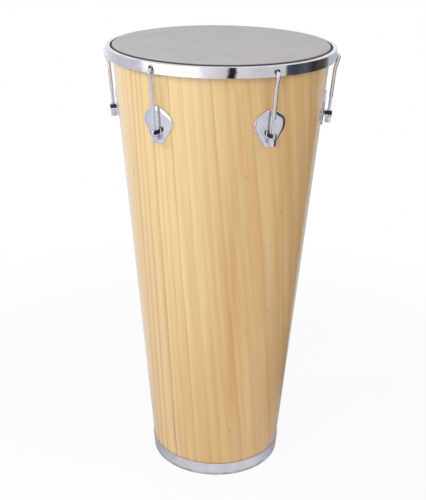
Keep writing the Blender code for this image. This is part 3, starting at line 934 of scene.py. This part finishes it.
def onWall(side, along, depth):
    # From the flat of the lug to its place on the cone, in the station's frame
    centreHeight = seatHeight + lugRise
    centreRadius = wallRadius(centreHeight)
    out = centreRadius + along * sin(wallAngle) + depth * cos(wallAngle)
    up = centreHeight + along * cos(wallAngle) - depth * sin(wallAngle)
    return stationInverse @ (rotation(side / centreRadius) @ Vector((0, -out, up)))


lugCentre = stationInverse.inverted() @ Vector((0, station["standoff"], station["lugAboveSeat"]))
lugRise = lugCentre.z - seatHeight


def plateShape():
    # The outline drawn in ring by ring up the crown, then given its thickness
    outline = lugOutline()
    bm = bmesh.new()
    bmesh.ops.create_circle(bm, segments=len(outline), radius=1.0)
    bm.verts.ensure_lookup_table()
    for v, (x, y) in zip(bm.verts, outline):
        v.co = (x, y, lug["gap"])
    ring = list(bm.edges)
    last = 1.0
    for share in lug["crownShares"]:
        grown = bmesh.ops.extrude_edge_only(bm, edges=ring)["geom"]
        verts = [item for item in grown if isinstance(item, bmesh.types.BMVert)]
        ring = [item for item in grown if isinstance(item, bmesh.types.BMEdge)
                and all(v in verts for v in item.verts)]
        rise = (1 - share ** lug["edgePower"]) ** lug["risePower"]
        depth = lug["gap"] + (lug["depth"] - lug["gap"]) * rise
        for v in verts:
            v.co = (v.co.x * share / last, v.co.y * share / last, depth)
        last = share
    bmesh.ops.contextual_create(bm, geom=ring)
    bmesh.ops.recalc_face_normals(bm, faces=bm.faces)
    if sum(face.normal.z for face in bm.faces) < 0:
        bmesh.ops.reverse_faces(bm, faces=bm.faces)
    bmesh.ops.solidify(bm, geom=bm.faces, thickness=lug["sheet"])
    for v in bm.verts:
        v.co.z = max(v.co.z, lug["gap"])
        v.co = onWall(*v.co)
    bmesh.ops.recalc_face_normals(bm, faces=bm.faces)
    return bm


def earShape():
    # The ear: a thick tongue from the plate to a round end about the rod
    half = lug["earBore"] + lug["earWall"]
    root = station["standoff"] - lug["depth"] + lug["sheet"] / 2
    flare = [(half * lug["earRoot"], root), (half * lug["earNeck"], root - lug["earFillet"])]
    outline = flare + arc(0, 0, half, 0, -180, 20) + [(-x, y) for x, y in reversed(flare)]
    bm = bmesh.new()
    face = bm.faces.new([bm.verts.new((x, y, earTop)) for x, y in outline])
    grown = bmesh.ops.extrude_face_region(bm, geom=[face])["geom"]
    low = [item for item in grown if isinstance(item, bmesh.types.BMVert)]
    bmesh.ops.translate(bm, verts=low, vec=(0, 0, -lug["earThickness"]))
    bmesh.ops.recalc_face_normals(bm, faces=bm.faces)
    level = [e for e in bm.edges if abs(e.verts[0].co.z - e.verts[1].co.z) < 0.0001]
    free = [e for e in level if e.verts[0].co.y < root - 0.0001]
    bmesh.ops.bevel(bm, geom=free, offset=lug["earEase"], segments=4, profile=0.5, affect="EDGES",
                    material=-1)
    # a line round the ear, where the painted shade on its upper sides ends
    bmesh.ops.bisect_plane(bm, geom=bm.verts[:] + bm.edges[:] + bm.faces[:],
                           plane_co=(0, 0, earTop - lug["earShade"]), plane_no=(0, 0, 1))
    drill = bar(lug["earBore"], 36, earTop - 2 * lug["earThickness"], earTop + lug["earThickness"])
    return combined(bm, [drill], "DIFFERENCE")


def lugShape():
    plate = combined(plateShape(), [earShape()], "UNION")
    # the ear's sides near its top take the painted shade finish, dark as the dark gap that they reflect
    front = station["standoff"] - lug["depth"] - lug["earShadeFrom"]
    for face in plate.faces:
        middle = face.calc_center_median()
        beside = abs(face.normal.x) > 0.5 and middle.y < front
        face.material_index = 1 if beside and earTop - lug["earShade"] < middle.z < earTop else 0
    studs = []
    studTop = lug["depth"] - lug["sheet"] - 0.0001
    for height in (lug["studSpacing"] / 2, -lug["studSpacing"] / 2):
        stud = threaded(lug["stud"] / 2, lug["studGroove"], lug["studPitch"], -lug["studEnd"], studTop)
        place = Matrix.Translation((0, station["standoff"], station["lugAboveSeat"] + height))
        bmesh.ops.transform(stud, matrix=place @ rotation(pi / 2, "X"), verts=stud.verts)
        studs.append(stud)
    return joined([plate, *studs])


# Nuts: hexagon bars with their corners turned off at both ends, and flat washers
nuts = {
    "tuningAcross": 0.0100, "tuningHeight": 0.0108, "tuningBore": 0.0031,
    "studAcross": 0.0080, "studHeight": 0.0040, "studBore": 0.0028,
    "washerRadius": 0.0060, "washerThickness": 0.0010, "washerEase": 0.0002,
    # the round face's share of the width, the fall of the turned corners, and the bore's widened mouth
    "faceShare": 0.95, "cornerFall": 0.55, "mouthShare": 0.14,
    # how far cutters run past what they cut, and the angle past which a nut's edge is sharp
    "pastCorner": 0.0002, "spare": 0.0005, "pastMouth": 0.001, "sharp": 20,
    # degrees that each tuning nut stands turned from a flat outward, by station
    "restTurn": [26, 0, 41, 12, 0, 0],
}


def nutShape(across, height, bore):
    corner = across / 2 / cos(pi / 6)
    # the bar is longer than the nut, so that no end lies in the same plane as the blank's
    hexagon = bar(corner, 6, -height - nuts["spare"], nuts["spare"])
    bmesh.ops.rotate(hexagon, verts=hexagon.verts, matrix=Matrix.Rotation(pi / 6, 3, "Z"))
    face = across / 2 * nuts["faceShare"]
    fall = (corner - face) * nuts["cornerFall"]
    wide = corner + nuts["pastCorner"]
    outline = [(0, 0), (face, 0), (wide, -fall), (wide, fall - height), (face, -height), (0, -height)]
    blank = combined(hexagon, [turned(outline, 70)], "INTERSECT")
    mouth, past = bore * nuts["mouthShare"], nuts["pastMouth"]
    hole = [(0, past), (bore + mouth + past, past), (bore, -mouth), (bore, mouth - height)]
    hole += [(bore + mouth + past, -height - past), (0, -height - past)]
    return combined(blank, [turned(hole, 40)], "DIFFERENCE")


def washerShape():
    radius, bore, thickness = nuts["washerRadius"], nuts["studBore"], nuts["washerThickness"]
    ease = nuts["washerEase"]
    outline = [(bore, -thickness), (radius - ease, -thickness), (radius, ease - thickness), (radius, -ease)]
    outline += [(radius - ease, 0), (bore, 0)]
    return turned(outline, 40)


def placedPiece(name, mesh, matrix, finishes, node, body, sharp=32):
    bm = bmesh.new()
    bm.from_mesh(mesh)
    bmesh.ops.transform(bm, matrix=matrix, verts=bm.verts)
    return newPiece(name, bm, finishes, node, body, sharp)


def washerDepth():
    # A flat washer in the round shell touches it at its edges, so its middle stands clear
    inside = wallRadius(seatHeight + lugRise) - wallAcross
    return shell["wall"] + lug["gap"] + nuts["washerRadius"] ** 2 / (2 * inside)


def buildStations():
    hookMesh = toMesh(hookShape(), "hook")
    lugMesh = toMesh(lugShape(), "lug")
    nutMesh = toMesh(nutShape(nuts["tuningAcross"], nuts["tuningHeight"], nuts["tuningBore"]), "tuningNut")
    studNutMesh = toMesh(nutShape(nuts["studAcross"], nuts["studHeight"], nuts["studBore"]), "studNut")
    washerMesh = toMesh(washerShape(), "washer")
    outward = rotation(pi / 2, "X")
    depth = station["standoff"] + washerDepth()
    nutDepth = depth + nuts["washerThickness"] + lug["gap"]
    for index in range(stationCount):
        n = index + 1
        place = stationFrame(index)
        node = f"hook_{n}"
        placedPiece(f"chromeHook{n}", hookMesh, place, ["chrome", "thread"], node, node)
        placedPiece(f"chromeLug{n}", lugMesh, place, ["chrome", "dark"], f"lug_{n}", "drum")
        atRest = place @ rotation(radians(nuts["restTurn"][index]))
        node = f"tuning_nut_{n}"
        placedPiece(f"tuningNut{n}", nutMesh, atRest, ["chrome"], node, node, nuts["sharp"])
        for row, height in (("upper", lug["studSpacing"] / 2), ("lower", -lug["studSpacing"] / 2)):
            level = station["lugAboveSeat"] + height
            ending = f"{n}{row.title()}"
            washerPlace = place @ Matrix.Translation((0, depth, level)) @ outward
            node = f"stud_washer_{n}_{row}"
            placedPiece(f"studWasher{ending}", washerMesh, washerPlace, ["zinc"], node, "drum")
            nutPlace = place @ Matrix.Translation((0, nutDepth, level)) @ outward
            node = f"stud_nut_{n}_{row}"
            placedPiece(f"studNut{ending}", studNutMesh, nutPlace, ["zinc"], node, "drum",
                        nuts["sharp"])


buildShell()
buildBand()
buildHead()
buildFleshHoop()
buildHoop()
print("shell, band, head and hoops built")
buildStations()
print("stations built:", stationCount)


# Studio: pale floor, soft lamps, and walls that only shine in gloss
studio = {
    "soft": 0.50,
    # what stands round the drum, seen only in gloss: degrees from the camera's side towards +X, and its tone
    "walls": [(-180, (0.80, 0.80, 0.84)), (-150, (0.88, 0.89, 0.93)), (-127, (0.77, 0.77, 0.79)),
              (-117, (0.66, 0.66, 0.69)), (-98, (0.71, 0.71, 0.76)), (-80, (0.78, 0.79, 0.84)),
              (-76.5, (1.50, 1.50, 1.50)), (-24, (1.50, 1.50, 1.50)), (-17, (1.02, 1.02, 1.05)),
              (-8, (0.87, 0.87, 0.90)), (6, (0.66, 0.65, 0.68)), (7.5, (0.02, 0.02, 0.02)),
              (14, (0.02, 0.02, 0.02)), (15.5, (0.88, 0.88, 0.92)), (36, (0.74, 0.73, 0.74)),
              (48, (0.78, 0.77, 0.78)), (65.3, (0.68, 0.67, 0.69)), (66.5, (0.10, 0.10, 0.12)),
              (75, (0.055, 0.06, 0.085)), (90, (0.10, 0.11, 0.15)), (102, (0.033, 0.032, 0.035)),
              (110, (0.095, 0.065, 0.045)), (117, (0.088, 0.062, 0.05)), (124, (0.125, 0.115, 0.115)),
              (129, (0.27, 0.27, 0.30)), (132, (0.62, 0.62, 0.67)), (138, (0.56, 0.56, 0.61)),
              (146, (0.61, 0.61, 0.66)), (160, (0.55, 0.54, 0.57)), (180, (0.62, 0.62, 0.66))],
    # the walls' edges lean: they turn by so much between two heights of the direction
    "leanLeft": -0.087, "leanFront": 0.020, "leanFrom": -0.2095, "leanTo": -0.1975,
    "leftSpan": (-76, 7), "frontSpan": (14, 50),
    # the gap between the walls, which runs up past their tops
    "gapStart": (3, 7), "gapEnd": (18, 14), "gapRise": 0.75, "topFade": (0.05, 0.12),
    "top": (0.95, 0.95, 0.98, 1),
}


def toneRound(around, tones):
    # A tone for each angle round the drum
    share = maths("MULTIPLY_ADD", around, 1 / (2 * pi), 0.5)
    return ramp(share, [((angle + 180) / 360, (*tone, 1)) for angle, tone in tones])


def wallsGroup():
    # Tone of the walls round the drum, by the way from its middle
    group, start, end = newGroup("walls", [("Way", place3d), ("Turn", number)], [("Tone", "NodeSocketColor")])
    x, y, z = parts(start["Way"])
    around = add(azimuth(x, y), start["Turn"])
    feed(end["Tone"], toneRound(around, studio["walls"]))
    return group


walls = wallsGroup()
floor = {
    "radius": 2.3, "drop": 0.0002, "tone": paint(246, 245, 243),
    "shadowShare": 0.10, "shadowFrom": 0.5, "shadowTo": 1.1,
    "whiteTo": 0.16, "wallsFrom": 0.36, "turn": -0.15, "brightest": (0.84, 0.84, 0.90, 1),
    # the floor beside the drum, seen only in gloss: degrees from the camera's side towards +X, and its tone
    "near": [(-180, (0.62, 0.62, 0.62)), (-92, (0.62, 0.62, 0.62)), (-78, (0.54, 0.54, 0.56)),
             (-60, (0.68, 0.68, 0.71)), (-40, (0.90, 0.90, 0.92)), (-15, (1.03, 1.03, 1.05)),
             (40, (1.00, 1.00, 1.02)), (56, (0.76, 0.77, 0.86)), (72, (0.52, 0.52, 0.62)),
             (90, (0.34, 0.34, 0.38)), (180, (0.52, 0.52, 0.54))],
}


def buildFloor():
    bm = bmesh.new()
    bmesh.ops.create_circle(bm, segments=96, radius=floor["radius"], cap_ends=True)
    material = bpy.data.materials.new("floor")
    material.use_nodes = True
    tree = work["tree"] = material.node_tree
    tree.nodes.remove(tree.nodes["Principled BSDF"])
    matt = newNode("BsdfDiffuse")
    matt.inputs["Color"].default_value = floor["tone"]
    white = newNode("Emission")
    rays = newNode("LightPath").outputs
    place = newNode("TexCoord").outputs["Object"]
    x, y, z = parts(place)
    far = fromAxis(x, y)
    near = toneRound(azimuth(x, y), floor["near"])
    near = mixed(rays["Is Glossy Ray"], (1, 1, 1, 1), near)
    tone = useGroup(walls, Way=place, Turn=floor["turn"])["Tone"]
    tone = mixed(1.0, tone, floor["brightest"], "DARKEN")
    walled = times(rays["Is Glossy Ray"], between(far, floor["whiteTo"], floor["wallsFrom"]))
    feed(white.inputs["Color"], mixed(walled, near, tone))
    shadow = between(far, floor["shadowFrom"], floor["shadowTo"], floor["shadowShare"], 0.0)
    seen = maths("MAXIMUM", rays["Is Camera Ray"], rays["Is Glossy Ray"])
    share = take(1.0, times(seen, take(1.0, shadow)))
    mix = newNode("MixShader")
    for socket, value in zip(mix.inputs, (share, white.outputs[0], matt.outputs[0])):
        feed(socket, value)
    feed(tree.nodes["Material Output"].inputs["Surface"], mix.outputs[0])
    mesh = toMesh(bm, "floor")
    mesh.materials.append(material)
    piece = bpy.data.objects.new("floor", mesh)
    piece.location.z = -floor["drop"]
    scene.collection.objects.link(piece)


def buildWorld():
    world = bpy.data.worlds.new("studio")
    world.use_nodes = True
    scene.world = world
    tree = work["tree"] = world.node_tree
    background = tree.nodes["Background"]
    rays = newNode("LightPath").outputs
    way = newNode("TexCoord").outputs["Generated"]
    x, y, z = parts(way)
    around = azimuth(x, y)
    names = ("leftSpan", "frontSpan", "gapStart", "gapEnd")
    spans = {name: [radians(angle) for angle in studio[name]] for name in names}
    lean = between(around, *spans["leftSpan"], studio["leanLeft"], studio["leanFront"], smooth=False)
    lean = take(lean, between(around, *spans["frontSpan"], 0.0, studio["leanFront"]))
    turn = times(lean, between(z, studio["leanFrom"], studio["leanTo"], 1.0, -1.0, smooth=False))
    tone = useGroup(walls, Way=way, Turn=turn)["Tone"]
    gap = [between(around, *spans[name]) for name in names[2:]]
    raised = times(maths("MINIMUM", *gap), studio["gapRise"])
    gloss = mixed(between(take(z, raised), *studio["topFade"]), tone, studio["top"])
    soft = studio["soft"]
    plain = mixed(rays["Is Camera Ray"], (soft, soft, soft, 1), (1, 1, 1, 1))
    feed(background.inputs["Color"], mixed(rays["Is Glossy Ray"], plain, gloss))
    background.inputs["Strength"].default_value = 1.0


lamps = {
    "key": {"place": (-1.35, -0.35, 1.35), "aim": (0, 0, 0.5), "size": 0.35, "power": 6.0},
    "front": {"place": (-0.75, -1.50, 1.15), "aim": (0, 0, 0.5), "size": 1.4, "power": 11.9},
    "right": {"place": (1.65, -0.95, 1.30), "aim": (0, 0, 0.4), "size": 1.2, "power": 9},
}


def buildLamps():
    for name, lamp in lamps.items():
        data = bpy.data.lights.new(name, "AREA")
        data.shape = "SQUARE"
        data.size = lamp["size"]
        data.energy = lamp["power"]
        item = bpy.data.objects.new(name, data)
        item.location = lamp["place"]
        aim = Vector(lamp["aim"]) - Vector(lamp["place"])
        item.rotation_euler = aim.to_track_quat("-Z", "Y").to_euler()
        item.visible_camera = False
        item.visible_glossy = False
        scene.collection.objects.link(item)


buildFloor()
buildWorld()
buildLamps()
scene.view_settings.view_transform = "Standard"
print("studio set")

bpy.context.view_layer.update()
